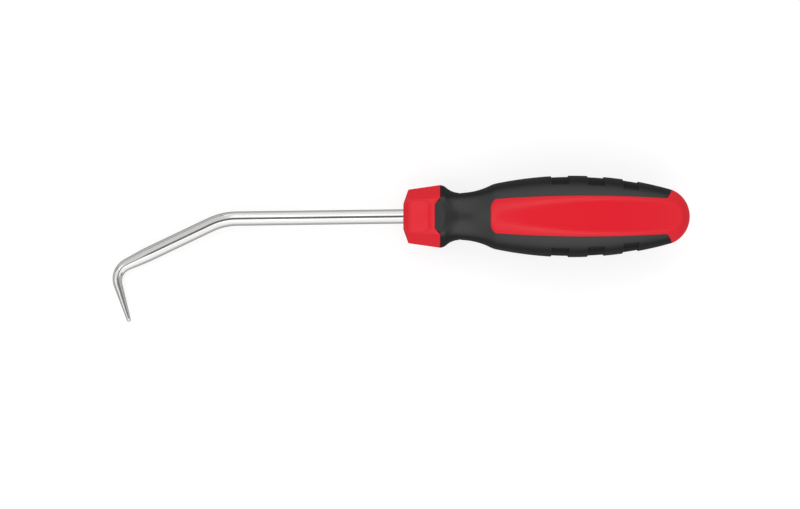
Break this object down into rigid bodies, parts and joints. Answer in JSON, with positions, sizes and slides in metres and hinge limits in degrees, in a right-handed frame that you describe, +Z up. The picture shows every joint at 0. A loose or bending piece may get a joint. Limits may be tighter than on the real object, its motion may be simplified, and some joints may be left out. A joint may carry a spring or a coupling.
{
  "type": "o-ring pick",
  "caption": "Hand pick for pulling seals and O-rings: a bent steel shaft with a tapered hook, in a hexagon-nosed handle with hard panels and a soft grip.",
  "frame": {"origin": "centre of the laid-down tool's bounding box, on the surface that it lies on", "axes": "+X from the hook towards the butt, +Y away from the side that the hook's tip points to, +Z up out of the upper panel"},
  "size_m": [0.2532, 0.0644, 0.0349],
  "materials": {
    "bright_steel": "bright ground and plated steel rod",
    "red_plastic": "semi-gloss moulded hard plastic",
    "black_rubber": "fine-textured satin soft overmould"
  },
  "bodies": {
    "root": {"pick_shaft": "bright_steel", "handle_core": "red_plastic", "grip_sleeve": "black_rubber"}
  },
  "joints": []
}
